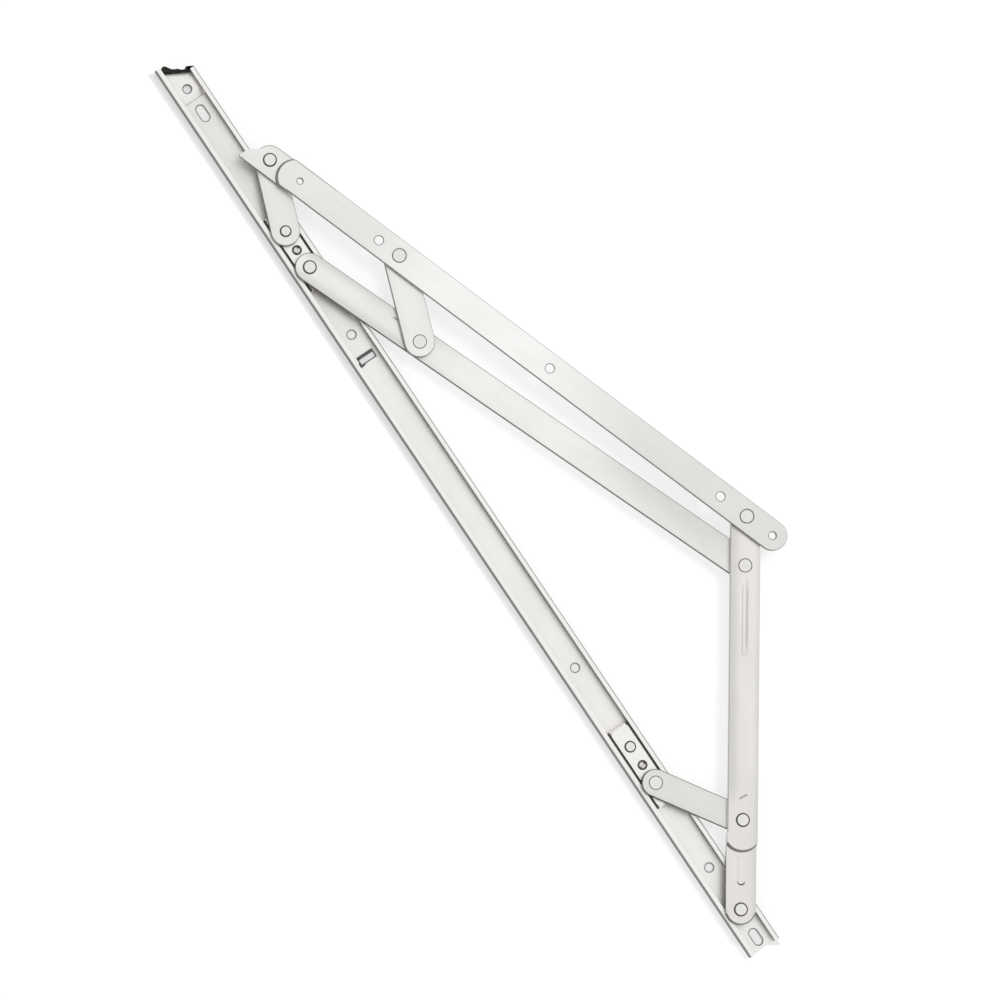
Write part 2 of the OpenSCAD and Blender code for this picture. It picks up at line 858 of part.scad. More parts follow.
module lower_shoe() {
    color(brass)
        difference() {
            translate([0, 0, shoe_z])
                linear_extrude(plate_z - shoe_z)
                    slide_plan(lower_x0, lower_x1, lower_w);
            for (p = [lower_pivot, shoe_rivet])
                place(p) {
                    cylinder(r = hole_r, h = track_h);
                    cylinder(r = head_r + pivot_clear, h = shoe_z + seat_h);
                }
            place(lower_screw)
                cylinder(r = friction_screw_r, h = track_h);
        }
}

module lower_slide_plate() {
    color(steel)
        difference() {
            slide_plate(lower_x0, lower_x1, lower_w);
            for (p = [lower_pivot, shoe_rivet])
                place(p)
                    cylinder(r = hole_r, h = track_h);
            place(lower_screw)
                cylinder(r = friction_screw_r, h = track_h);
        }
}

module lower_slide_collar() {
    color(bright_steel)
        place(lower_pivot)
            washer(land_top, level_1 - land_top - air, collar_r);
}

module lower_friction_screw() {
    color(dark_steel)
        place(lower_screw, lower_slot_turn)
            slotted_screw();
}

module lower_shoe_rivet() {
    color(bright_steel)
        place(shoe_rivet)
            domed_rivet(shoe_z + seat_h, land_top, seat_h, small_head_r);
}

module friction_link_rivet() {
    color(bright_steel)
        place(lower_pivot, brake_angle)
            flat_rivet(shoe_z + seat_h, level_1 + bar_t + air, seat_h, flat_h - air);
}

track();
end_cap();
end_buffer();
fixed_pivot_collar();
fixed_pivot_rivet();
short_arm();
short_arm_washers();
brake_rivet();
elbow_rivet();
long_arm();
long_arm_washer();
middle_link_rivet();
upper_shoe();
upper_slide_plate();
upper_slide_collars();
upper_friction_screw();
top_link_rivet();
long_arm_rivet();
top_link();
middle_link();
sash_arm();
sash_arm_washers();
sash_arm_rivet();
sash_link_rivet();
sash_tip_rivet();
friction_link();
lower_shoe();
lower_slide_plate();
lower_slide_collar();
lower_friction_screw();
lower_shoe_rivet();
friction_link_rivet();
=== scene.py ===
import json
import math

import bmesh
import bpy
from mathutils import Matrix, Vector


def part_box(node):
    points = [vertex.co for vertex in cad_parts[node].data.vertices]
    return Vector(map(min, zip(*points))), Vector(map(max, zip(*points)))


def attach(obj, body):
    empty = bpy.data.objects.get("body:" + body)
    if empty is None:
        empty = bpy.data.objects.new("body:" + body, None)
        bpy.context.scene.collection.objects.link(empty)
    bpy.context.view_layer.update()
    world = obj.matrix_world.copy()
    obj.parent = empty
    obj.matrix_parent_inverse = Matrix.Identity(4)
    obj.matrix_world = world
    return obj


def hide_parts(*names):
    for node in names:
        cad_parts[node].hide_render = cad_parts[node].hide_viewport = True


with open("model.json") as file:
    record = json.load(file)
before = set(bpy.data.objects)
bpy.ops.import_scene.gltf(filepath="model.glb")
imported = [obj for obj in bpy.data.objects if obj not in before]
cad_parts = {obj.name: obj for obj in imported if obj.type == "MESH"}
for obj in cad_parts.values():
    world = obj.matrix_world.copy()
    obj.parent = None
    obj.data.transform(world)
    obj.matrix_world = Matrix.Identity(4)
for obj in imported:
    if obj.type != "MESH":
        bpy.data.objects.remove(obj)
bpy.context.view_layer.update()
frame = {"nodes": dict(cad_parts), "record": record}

MM = 0.001


# The picture.
# The stay lies open on a white table and is seen from above, leaning a little towards
# the outer side of the track. The track runs from the upper left to the lower right.
PICTURE_W = 531 * MM
PICTURE_CENTRE = Vector((-251.7, 15.0, 11.7)) * MM
LEAN = math.radians(9.7)
TRACK_TURN = math.radians(56.13)
LENS = 250
SENSOR = 36
CAMERA_REACH = 50

towards_eye = Vector((0, -math.sin(LEAN), math.cos(LEAN)))
level = Vector((0, math.cos(LEAN), math.sin(LEAN)))
along = Vector((1, 0, 0))
picture_right = math.cos(TRACK_TURN) * along + math.sin(TRACK_TURN) * level
picture_up = math.cos(TRACK_TURN) * level - math.sin(TRACK_TURN) * along

camera = bpy.data.objects.new("camera", bpy.data.cameras.new("camera"))
camera.data.lens = LENS
camera.data.sensor_width = SENSOR
camera.data.clip_end = CAMERA_REACH
distance = PICTURE_W * LENS / SENSOR
turned = Matrix((picture_right, picture_up, towards_eye)).transposed().to_4x4()
camera.matrix_world = Matrix.Translation(PICTURE_CENTRE + distance * towards_eye) @ turned
bpy.context.scene.collection.objects.link(camera)
bpy.context.scene.camera = camera
bpy.context.scene.view_settings.view_transform = "Standard"


# Shader sums.
# Every finish below is written as sums of these, the table's first. The Mix node has sockets
# of one name for each type of data, so its colours are found by number.
MIX_FIRST, MIX_SECOND, MIX_RESULT = 6, 7, 2


class Shade:
    """One shader socket. Sums of these add their Math nodes, and node() adds any other node."""

    def __init__(self, tree, socket=None):
        self.tree = tree
        self.socket = socket

    def node(self, kind, settings=None, inputs=None, out=0):
        """A new node: its settings come first, then the values or links of its sockets."""
        made = self.tree.nodes.new(kind)
        for name, value in (settings or {}).items():
            setattr(made, name, value)
        for name, value in (inputs or {}).items():
            if isinstance(value, Shade):
                self.tree.links.new(value.socket, made.inputs[name])
            else:
                made.inputs[name].default_value = value
        return Shade(self.tree, made.outputs[out])

    def math(self, operation, *others):
        """A Math node on this and the others."""
        values = dict(enumerate((self,) + others))
        return self.node("ShaderNodeMath", {"operation": operation}, values)

    def __add__(self, other):
        return self.math("ADD", other)

    def __sub__(self, other):
        return self.math("SUBTRACT", other)

    def __rsub__(self, other):
        return (self * -1) + other

    def __mul__(self, other):
        return self.math("MULTIPLY", other)

    def __truediv__(self, other):
        return self.math("DIVIDE", other)

    __radd__ = __add__
    __rmul__ = __mul__

    def size(self):
        """This without its sign."""
        return self.math("ABSOLUTE")

    def larger(self, other):
        """The larger one of the two."""
        return self.math("MAXIMUM", other)

    def above(self, low, high):
        """0 at low, 1 at high, and a smooth step from one to the other."""
        return self.node(
            "ShaderNodeMapRange",
            {"interpolation_type": "SMOOTHSTEP"},
            {"Value": self, "From Min": low, "From Max": high},
        )

    def below(self, low, high):
        """1 at low, 0 at high, and a smooth step from one to the other."""
        return 1 - self.above(low, high)

    def within(self, low, high, soft):
        """1 from low to high and 0 outside them, with soft ends."""
        return self.above(low - soft, low + soft) * self.below(high - soft, high + soft)

    def mix(self, first, second):
        """Colour first where this is 0, and second where it is 1."""
        return self.node(
            "ShaderNodeMix",
            {"data_type": "RGBA"},
            {"Factor": self, MIX_FIRST: first, MIX_SECOND: second},
            MIX_RESULT,
        )

    def part(self, axis):
        """The X, Y or Z part of a vector."""
        return self.node("ShaderNodeSeparateXYZ", inputs={0: self}, out=axis)


# The table and the light.
# A white sheet under the stay keeps its soft shadows. It is shaded where the track covers it
# and along the track's outer side. The studio's walls are darker than its ceiling, and only
# matt things catch its one window.
SHEET_COLOUR = (0.30, 0.30, 0.298, 1)
SHEET_HALF = 3.0
SHEET_DROP = 0.02 * MM
SHEET_LIFT = 0.69
SHADE_UNDER = 0.20
SHADE_UNDER_SPAN = (-9.2 * MM, 9.0 * MM)
SHADE_UNDER_SOFT = 0.1 * MM
SHADE_BESIDE = 0.15
SHADE_BESIDE_SPAN = (-13.1 * MM, -9.2 * MM)
SHADE_BESIDE_SOFT = 0.4 * MM
SHADE_FADE = 0.6
SHADE_FADE_RUN = (-350 * MM, 0)
SHADE_RUN = (-535.8 * MM, 22.5 * MM)
SHADE_RUN_SOFT = 0.3 * MM
SHADE_SLANT = 0.67
CEILING = 1.0
CEILING_RISE = (0.05, 0.85)
WALLS = 0.45
INNER_WALL_DROP = 0.28
INNER_WALL_SPAN = (0, 0.9)
WINDOW_LEVEL = 1.2
WINDOW_TILT = math.radians(21)
WINDOW_SPREAD = math.radians(20)
WHITE = (1, 1, 1, 1)
BLACK = (0, 0, 0, 1)


def new_finish(name, metallic):
    """A new material, its shader and the start of its sums."""
    material = bpy.data.materials.new(name)
    material.use_nodes = True
    shader = material.node_tree.nodes["Principled BSDF"]
    shader.inputs["Metallic"].default_value = metallic
    return material, shader, Shade(material.node_tree)


def feed(shader, **sums):
    """Links each sum to the socket of its name."""
    for name, value in sums.items():
        socket = shader.inputs[name.replace("_", " ")]
        socket.id_data.links.new(value.socket, socket)


def own_point(sums):
    """Place on the piece, from its object coordinates."""
    return sums.node("ShaderNodeTexCoord", out="Object")


sheet = bpy.data.objects.new("table_sheet", bpy.data.meshes.new("table_sheet"))
ground = bmesh.new()
bmesh.ops.create_grid(ground, x_segments=1, y_segments=1, size=SHEET_HALF)
bmesh.ops.translate(ground, verts=ground.verts, vec=(PICTURE_CENTRE.x, 0, -SHEET_DROP))
ground.to_mesh(sheet.data)
ground.free()
bpy.context.scene.collection.objects.link(sheet)

paper, paper_shader, rays = new_finish("table_sheet", 0)
paper_shader.inputs["Base Color"].default_value = SHEET_COLOUR
paper_shader.inputs["Roughness"].default_value = 1
paper_shader.inputs["Specular IOR Level"].default_value = 0
# Only the camera and reflections see the sheet glow, so that it puts no light on the stay.
seen = rays.node("ShaderNodeLightPath", out="Is Camera Ray")
seen = seen.larger(rays.node("ShaderNodeLightPath", out="Is Glossy Ray"))
seen = seen.larger(rays.node("ShaderNodeLightPath", out="Is Transmission Ray"))
place = own_point(rays)
run = place.part("X")
aside = place.part("Y")
under = SHADE_UNDER * aside.within(*SHADE_UNDER_SPAN, SHADE_UNDER_SOFT)
fading = 1 - SHADE_FADE * run.above(*SHADE_FADE_RUN)
beside = SHADE_BESIDE * fading * aside.within(*SHADE_BESIDE_SPAN, SHADE_BESIDE_SOFT)
slanting = run - SHADE_SLANT * aside
shaded = (under + beside) * slanting.within(*SHADE_RUN, SHADE_RUN_SOFT)
feed(
    paper_shader,
    Emission_Color=(shaded / SHEET_LIFT).mix(WHITE, BLACK),
    Emission_Strength=seen * SHEET_LIFT,
)
sheet.data.materials.append(paper)

world = bpy.data.worlds.new("studio")
bpy.context.scene.world = world
world.use_nodes = True
studio = Shade(world.node_tree)
# The camera sees plain white, and the stay is lit by the walls and the ceiling.
way = studio.node("ShaderNodeTexCoord", out="Generated")
overhead = way.part("Z").above(*CEILING_RISE)
inner = way.part("Y").above(*INNER_WALL_SPAN)
glow = WALLS + (CEILING - WALLS) * overhead - INNER_WALL_DROP * inner * (1 - overhead)
straight = studio.node("ShaderNodeLightPath", out="Is Camera Ray")
background = world.node_tree.nodes["Background"]
background.inputs["Color"].default_value = WHITE
feed(background, Strength=glow + straight * (1 - glow))

window = bpy.data.objects.new("window_light", bpy.data.lights.new("window_light", "SUN"))
window.data.energy = WINDOW_LEVEL
window.data.angle = WINDOW_SPREAD
window.rotation_euler = (-WINDOW_TILT, 0, 0)
window.visible_glossy = False
bpy.context.scene.collection.objects.link(window)


# The track.
# A channel with inturned lips, rolled from ferritic stainless strip. The rolls leave a fine
# grain along it and a duller inside, painted darker as the shade of the channel, and the shoes
# of the slides polish two runs of its floor. Its outer walls, the rims of its openings, the
# stop's opening and the floor under one lip are painted dark as shade.
# Places and sizes on pieces of strip are in millimetres, but for the sizes of their patterns.
# The first dark is partly sheared steel and partly painted shade on walls and steps; the second
# is painted shade in rims, gaps and grooves.
SHEARED_EDGE_AND_SHADE = (0.20, 0.197, 0.188, 1)
PAINTED_SHADE = (0.09, 0.088, 0.082, 1)
POLISHED = (0.93, 0.92, 0.90, 1)
STEEL_ROUGH = 0.24
GRAIN_ROUGH = 0.05
INSIDE_ROUGH = 0.07
DARK_ROUGH = 0.15
GRAIN_SIZE = (26 * MM, 0.30 * MM)
GRAIN_TARNISH = 0.24
GRAIN_BUMP = (0.1, 0.02 * MM)
CLOUD_SIZE = (42 * MM, 14 * MM)
CLOUD_TARNISH = 0.24
CLOUD_SPAN = (0.3, 0.7)
SCRATCH_SIZE = (12 * MM, 0.10 * MM)
SCRATCH_SPAN = (0.68, 0.78)
SCRATCH_SHINE = 0.18
# How far a face looks up, from 0 for plumb to 1 for level, where one kind meets the next.
WALL_TO_STEP = (0.20, 0.30)
STEP_TO_FACE = (0.34, 0.44)
# The pressed step of a joggle is painted dark as shade.
STEP_SHADE = 0.85
WALL_TO_CHAMFER = (0.36, 0.60)
CHAMFER_TO_FACE = (0.74, 0.96)
BEND_TO_FACE = (0.62, 0.78)

TRACK_TONES = ((0.90, 0.89, 0.87, 1), (0.76, 0.75, 0.725, 1), (0.80, 0.79, 0.77, 1))
# The inside of the channel is painted darker as its shade.
INSIDE_DULL_AND_SHADE = 0.1
UPPER_END = (-430, -330)
UPPER_END_DULL = 0.4
SHOE_RUNS = ((-500, -398), (-134, -66))
SHOE_RUN_SOFT = 8
SHOE_SIDE = (6.0, 7.2)
SHOE_SHINE = 0.4
STREAK_SIZE = (90 * MM, 0.5 * MM)
STREAK_SPAN = (0.42, 0.68)
FLOOR_TOP = 1.2
LIP_FOOT = 5.8
# Painted shade on the floor under the lip on the side of the bars.
LIP_SHADE_SIDE = (6.1, 6.9)
LIP_SHADE = 0.5
INNER_SIDE = 8.1
# The openings punched in the floor: place, half of the straight run, half of the width.
PUNCHED = (
    (-510.7, 2.4, 2.6), (-368.8, 0, 2.6), (-155.3, 0, 2.6), (-27.3, 0, 2.6), (17.2, 2.4, 2.6)
)
# Painted shade round the rim of each opening.
PUNCHED_RIM_SHADE = 0.75
# The opening that the bent up stop leaves: its place, half of its length and of its width.
STOP = (-354.4, 2.0, 4.4)
# Painted shade on the stop and round its opening.
STOP_SHADE = 0.95
STOP_CORNER = 0.8


def upright(sums):
    """1 on level faces, 0 on plumb ones."""
    return sums.node("ShaderNodeNewGeometry", out="Normal").part("Z").size()


def noise(vector, detail, rough=0.6, scale=1.0):
    """A cloudy pattern. scale is how many of its clouds go into one unit of the vector."""
    return vector.node(
        "ShaderNodeTexNoise",
        inputs={"Vector": vector, "Scale": scale, "Detail": detail, "Roughness": rough},
    )


def bump(height, strength, depth):
    """Fine relief, raised where height is 1."""
    return height.node(
        "ShaderNodeBump", inputs={"Strength": strength, "Distance": depth, "Height": height}
    )


class Strip:
    """The surface of a piece of rolled strip: places along and across it from its start,
    height above the back of the track, kinds of face, and patterns of the rolls."""

    def __init__(self, sums, start, heading):
        self.point = own_point(sums)
        self.lie = {"Location": start, "Rotation": (0, 0, heading)}
        place = self.scaled(MM, MM)
        self.along = place.part("X")
        self.across = place.part("Y")
        self.off_line = self.across.size()
        self.height = self.point.part("Z") / MM
        self.level = upright(sums)
        self.wall = self.level.below(*WALL_TO_STEP)
        self.step = self.level.above(*WALL_TO_STEP) * self.level.below(*STEP_TO_FACE)
        self.chamfer = self.level.above(*WALL_TO_CHAMFER) * self.level.below(*CHAMFER_TO_FACE)
        self.grain = noise(self.scaled(*GRAIN_SIZE), 3)
        self.cloud = noise(self.scaled(*CLOUD_SIZE), 2)
        self.scratch = noise(self.scaled(*SCRATCH_SIZE), 1, 0.4).above(*SCRATCH_SPAN)

    def scaled(self, length, width):
        """The strip's own coordinates, counted in these lengths and widths."""
        return self.point.node(
            "ShaderNodeMapping",
            {"vector_type": "TEXTURE"},
            {"Vector": self.point, **self.lie, "Scale": (length, width, width)},
        )

    def near(self, place, half_run=0):
        """Distance from a place on the middle line, or from a run about it."""
        beyond = ((self.along - place).size() - half_run).larger(0)
        return (beyond * beyond + self.across * self.across).math("SQRT")


def steel_finish(name, lie, tones, dulling_and_shade=None, roughening=None, wall_darkening=None, shade_marks=None):
    """Rolled strip. lie is its start and heading; tones are its bright face, its dull face and
    the chamfer of its edges, whose darker tone is painted shade. The rest are given the Strip
    and return where it is dull and painted darker as shade, rough, a dark wall (if not told,
    all plumb faces; partly sheared edges, partly painted shade) or marked with painted shade.
    Joggle steps are painted dark as shade as well."""
    material, shader, sums = new_finish(name, 1)
    strip = Strip(sums, *lie)
    bright, dull, edge = tones
    tarnish_and_shade = CLOUD_TARNISH * strip.cloud.above(*CLOUD_SPAN) + GRAIN_TARNISH * (strip.grain - 0.5)
    # Each piece may add darker and lighter places of its own, partly painted shade.
    if dulling_and_shade:
        tarnish_and_shade = tarnish_and_shade + dulling_and_shade(strip)
    colour = (SCRATCH_SHINE * strip.scratch).mix(tarnish_and_shade.mix(bright, dull), POLISHED)
    # The chamfer's darker tone is painted shade along the edges.
    colour = strip.chamfer.mix(colour, edge)
    # Walls and joggle steps are painted dark: partly sheared edges, partly painted shade.
    dark = (wall_darkening(strip) if wall_darkening else strip.wall).larger(STEP_SHADE * strip.step)
    colour = dark.mix(colour, SHEARED_EDGE_AND_SHADE)
    # Rims, gaps, grooves and outlines are painted dark as shade.
    if shade_marks:
        shade_marked = shade_marks(strip)
        colour = shade_marked.mix(colour, PAINTED_SHADE)
        dark = dark.larger(shade_marked)
    rough = STEEL_ROUGH + GRAIN_ROUGH * (strip.grain + tarnish_and_shade) + DARK_ROUGH * dark
    if roughening:
        rough = rough + INSIDE_ROUGH * roughening(strip)
    relief = bump(strip.grain + strip.scratch, *GRAIN_BUMP)
    feed(shader, Base_Color=colour, Roughness=rough, Normal=relief)
    return material


def dress(node, material):
    """Gives a CAD node its finish."""
    target = frame["nodes"][node]
    target.data.materials.clear()
    target.data.materials.append(material)


def inside_of_track(strip):
    """1 on the floor and the hidden sides of the channel."""
    low = strip.height.below(LIP_FOOT - 0.2, LIP_FOOT)
    return low * strip.off_line.below(INNER_SIDE + 0.2, INNER_SIDE + 0.4)


def outer_wall_shade(strip):
    """1 on the outer walls and the bends above them, which are painted dark as shade."""
    return strip.level.below(*BEND_TO_FACE) * (1 - inside_of_track(strip))


def track_dull_and_shade(strip):
    """The inside is a little dull and painted darker as the shade of the channel, darker still at
    the upper end, but for two bright streaky runs on the floor as wide as the shoes."""
    streaks = noise(strip.scaled(*STREAK_SIZE), 3).above(*STREAK_SPAN)
    runs = 0
    for low_end, high_end in SHOE_RUNS:
        runs = runs + strip.along.within(low_end, high_end, SHOE_RUN_SOFT)
    shine = SHOE_SHINE * streaks * strip.off_line.below(*SHOE_SIDE) * runs
    dull = INSIDE_DULL_AND_SHADE + UPPER_END_DULL * strip.along.below(*UPPER_END)
    return inside_of_track(strip) * (dull - shine)


def track_shade_marks(strip):
    """Painted shade: a thin dark rim round each opening punched in the floor, dark on the stop
    and round its opening, most at the corner farther from the bars, and dark on the floor under
    the lip on their side."""
    rim_shade = 0
    for place, half_run, half_width in PUNCHED:
        from_rim = (strip.near(place, half_run) - half_width).size()
        rim_shade = rim_shade + from_rim.below(0.05, 0.4)
    on_floor = (strip.height - FLOOR_TOP).size().below(0.1, 0.2)
    stop_place, stop_half_run, stop_half_width = STOP
    beyond = strip.along - stop_place
    from_stop = (beyond.size() - stop_half_run).larger(strip.off_line - stop_half_width)
    corner = (strip.across * -1).above(1.5, stop_half_width) * beyond.above(0, 1)
    stop_opening_shade = (from_stop - STOP_CORNER * corner).below(0.4, 0.8) * strip.height.above(0.1, 0.2)
    under_lip = LIP_SHADE * strip.across.above(*LIP_SHADE_SIDE) * on_floor
    return (PUNCHED_RIM_SHADE * rim_shade * on_floor).larger(STOP_SHADE * stop_opening_shade).larger(under_lip)


dress(
    "track",
    steel_finish(
        "track_steel", ((0, 0, 0), 0), TRACK_TONES,
        track_dull_and_shade, inside_of_track, outer_wall_shade, track_shade_marks,
    ),
)


# The end cap and its buffer.
# A thin plate cast in zinc lies on the floor of the upper end, with edges rounded by the
# mould. The wavy black rubber against it takes the knock of the sash arm.
CAST_ROUNDING = 0.35 * MM
CAST_GRAIN = 0.45 * MM
CAST_FACE = (0.93, 0.915, 0.89, 1)
CAST_DULL = (0.80, 0.785, 0.76, 1)
# The sides and the screw hole are painted darker as shade.
CAST_SIDE_SHADE = (0.72, 0.71, 0.69, 1)
CAST_HOLE = Vector((-525.9, 0, 3.0)) * MM
CAST_HOLE_R = 2.5 * MM
CAST_HOLE_SHADE = 0.8
RUBBER_ROUNDING = 0.45 * MM
RUBBER_BLACK = (0.012, 0.009, 0.007, 1)
RUBBER_WORN = (0.035, 0.028, 0.024, 1)
RUBBER_GLOSS = 0.25

# From the record: the nodes of each moving body.
BODIES = frame["record"]["behaviour"]["bodies"]
WELD = 0.002 * MM
# Angles between two faces: one face up to the first, rounded from the second, sharp from the
# third.
FLAT_BELOW = math.radians(1.5)
ROUNDED_ABOVE = 0.5
SHARP_ABOVE = math.radians(35)


def softened(node, width, steps):
    """A copy of a CAD node's mesh with its sharp edges rounded."""
    body = bmesh.new()
    body.from_mesh(frame["nodes"][node].data)
    bmesh.ops.remove_doubles(body, verts=body.verts, dist=WELD)
    bmesh.ops.dissolve_limit(body, angle_limit=FLAT_BELOW, verts=body.verts, edges=body.edges)
    joined = [edge for edge in body.edges if edge.is_manifold]
    sharp = [edge for edge in joined if edge.calc_face_angle() > ROUNDED_ABOVE]
    bmesh.ops.bevel(
        body, geom=sharp, offset=width, affect="EDGES", segments=steps, profile=0.5, material=-1
    )
    return body


def new_piece(node, body, material):
    """Makes a mesh the piece that stands for a CAD node and moves with it."""
    bmesh.ops.recalc_face_normals(body, faces=body.faces)
    mesh = bpy.data.meshes.new("looks_" + node)
    body.to_mesh(mesh)
    body.free()
    mesh.shade_smooth()
    mesh.set_sharp_from_angle(angle=SHARP_ABOVE)
    mesh.materials.append(material)
    piece = bpy.data.objects.new("looks_" + node, mesh)
    bpy.context.scene.collection.objects.link(piece)
    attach(piece, next(name for name, nodes in BODIES.items() if node in nodes))
    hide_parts(node)


def distance_to(sums, place):
    """Distance from a place on the piece."""
    ends = {0: own_point(sums), 1: place}
    return sums.node("ShaderNodeVectorMath", {"operation": "DISTANCE"}, ends, "Value")


def cast_finish():
    """Zinc as it left the mould, with its sides and its screw hole painted darker as shade."""
    material, shader, sums = new_finish("cast_zinc", 1)
    pits = noise(own_point(sums), 4, scale=1 / CAST_GRAIN)
    cloud = noise(own_point(sums), 2, scale=0.1 / CAST_GRAIN)
    face = (0.6 * cloud + 0.3 * pits).mix(CAST_FACE, CAST_DULL)
    face = upright(sums).below(0.1, 0.4).mix(face, CAST_SIDE_SHADE)
    in_hole = distance_to(sums, CAST_HOLE).below(CAST_HOLE_R, 1.15 * CAST_HOLE_R)
    feed(
        shader,
        Base_Color=(CAST_HOLE_SHADE * in_hole).mix(face, PAINTED_SHADE),
        Roughness=0.26 + 0.16 * pits,
        Normal=bump(pits, 0.25, 0.03 * MM),
    )
    return material


def rubber_finish():
    """Black rubber with fine pores, worn grey in spots."""
    material, shader, sums = new_finish("black_rubber", 0)
    shader.inputs["Specular IOR Level"].default_value = RUBBER_GLOSS
    pores = noise(own_point(sums), 3, scale=1 / CAST_GRAIN)
    feed(
        shader,
        Base_Color=pores.above(0.4, 0.75).mix(RUBBER_BLACK, RUBBER_WORN),
        Roughness=0.6 + 0.2 * pores,
        Normal=bump(pores, 0.3, 0.05 * MM),
    )
    return material


new_piece("end_cap", softened("end_cap", CAST_ROUNDING, 3), cast_finish())
new_piece("end_buffer", softened("end_buffer", RUBBER_ROUNDING, 4), rubber_finish())


# The slides.
# Each slide is a brass shoe under a pressed steel plate, held by its rivets; the steps beside
# the plate's raised middle are painted dark as shade. A slotted screw through both sets the
# friction; its head is painted black as the shade of its countersink, and bright in the middle.
PLATE_TONES = ((0.90, 0.885, 0.86, 1), (0.78, 0.77, 0.745, 1), (0.62, 0.61, 0.59, 1))
LAND_FOOT = 6.5
LAND_HALF = 5.25
BRASS = (0.72, 0.50, 0.22, 1)
BRASS_BROWN = (0.42, 0.27, 0.11, 1)
# The head's black is painted shade of its countersink.
SCREW_SHADE_BLACK = (0.02, 0.019, 0.018, 1)
SCREW_WORN = (0.16, 0.155, 0.145, 1)
SCREW_BRIGHT = (0.90, 0.88, 0.84, 1)
SCREW_BRIGHT_R = 1.2 * MM
SCREW_ROUNDING = 0.18 * MM
SCREW_TOP = 6.6 * MM


def middle(node):
    """Middle of a CAD node's box."""
    low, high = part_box(node)
    return (low + high) / 2


def land_step_shade(strip):
    """The steps on both sides of the plate's raised middle, painted dark as the shade of the gaps
    beside it.
    """
    low = strip.height.below(LAND_FOOT, LAND_FOOT + 0.1)
    return low * strip.off_line.above(LAND_HALF - 0.4, LAND_HALF - 0.2)


def brass_finish():
    """Brass with brown stains."""
    material, shader, sums = new_finish("brass", 1)
    stain = noise(own_point(sums), 4, scale=0.25 / MM)
    feed(
        shader,
        Base_Color=stain.above(0.4, 0.8).mix(BRASS, BRASS_BROWN),
        Roughness=0.28 + 0.2 * stain,
    )
    return material


def screw_finish(name, centre):
    """Steel painted black as the shade of its countersink, worn in spots on the head and bright
    at its centre.
    """
    material, shader, sums = new_finish(name, 1)
    wear = noise(own_point(sums), 4, scale=1.6 / MM)
    off_centre = distance_to(sums, centre) + 0.4 * MM * (wear - 0.5)
    bright = off_centre.below(SCREW_BRIGHT_R, 1.5 * SCREW_BRIGHT_R)
    flat = upright(sums).above(0.90, 0.99)
    head = (flat * wear.above(0.2, 0.55)).mix(SCREW_SHADE_BLACK, SCREW_WORN)
    feed(
        shader,
        Base_Color=(flat * bright).mix(head, SCREW_BRIGHT),
        Roughness=0.40 - 0.15 * bright + 0.1 * wear,
        Normal=bump(wear, 0.2, 0.03 * MM),
    )
    return material


brass = brass_finish()
for slide in ("upper", "lower"):
    plate = slide + "_slide_plate"
    lie = (middle(plate), 0)
    dress(plate, steel_finish(plate + "_steel", lie, PLATE_TONES, shade_marks=land_step_shade))
    dress(slide + "_shoe", brass)
    screw = slide + "_friction_screw"
    top = Vector((middle(screw).x, middle(screw).y, SCREW_TOP))
    new_piece(screw, softened(screw, SCREW_ROUNDING, 2), screw_finish(screw + "_steel", top))


# The bars.
# Two arms, three links and the sash arm are stamped from 3 mm stainless strip. Stamping
# rounds their edges softly, and each has its own tone. Painted shade darkens their walls,
# chamfers and joggle steps, the sides of their crowned faces, and rims and grooves.
# The places in these functions are millimetres along and across the bar from its first pivot.
SHORT_ARM_HALF = 8.1
BAR_HALF = 7.8


def heading_of(first, second):
    """Direction from one CAD node to another, seen from above."""
    step = middle(second) - middle(first)
    return math.atan2(step.y, step.x)


def short_arm_dull_and_shade(strip):
    """A little darker low down, and above that painted darker at both sides as the shade of a
    crowned face, most at the side that faces the track."""
    low = 0.25 * strip.along.below(50, 90)
    facing = (strip.across / SHORT_ARM_HALF).above(0.15, 0.90) * strip.along.above(50, 70)
    other = (strip.across / -SHORT_ARM_HALF).above(0.55, 1.0)
    return low + 0.85 * facing + 0.5 * other


def short_arm_edge(strip):
    """Its sheared edge is painted dark as shade near the track, and is mostly left in the face's
    tones above it.
    """
    return strip.wall * (1 - 0.85 * strip.along.above(24, 34))


def short_arm_shade_marks(strip):
    """Painted shade in the crescent cut, along one side of the long groove, and round the rim at
    the lower end.
    """
    crescent = strip.height.within(8.7, 9.5, 0.1) * strip.along.within(8, 17, 0.5)
    crescent = crescent * strip.off_line.below(2.4, 2.6)
    groove_shade = (strip.across + 1.2).size().below(0.2, 1.1) * strip.along.within(138, 172, 7)
    rim_shade = (strip.near(0) - 8.0).size().below(0.4, 0.7) * strip.along.below(-3, -1.5)
    return (0.85 * crescent).larger(0.3 * groove_shade).larger(0.75 * rim_shade)


def long_arm_dull_and_shade(strip):
    """Darker low down, most at its sides, light in the middle, and darker again towards the
    elbow, most at one side; the darker sides are painted shade of a crowned face."""
    side = strip.across / BAR_HALF
    low = (0.2 + 0.6 * side.size().above(0.25, 0.9)) * strip.along.below(60, 110)
    high = (0.68 + 0.3 * side) * strip.along.above(150, 225)
    return low + high + 0.15 * side.size().above(0.7, 1.0)


def sash_arm_light_and_shade(strip):
    """Painted light and shade along its length: darker at its tip, light before the middle, and
    darkest near the sash pivot.
    """
    return 0.6 * strip.along.below(50, 120) + 0.9 * strip.along.above(150, 270)


def sash_tip_rim_shade(strip):
    """Painted shade round the rim of the tip, on the side farther from the track."""
    rim_shade = (strip.near(20, 20) - 7.9).size().below(0.3, 0.6)
    return 0.45 * rim_shade * strip.across.above(1.2, 1.8) * strip.along.below(36, 40)


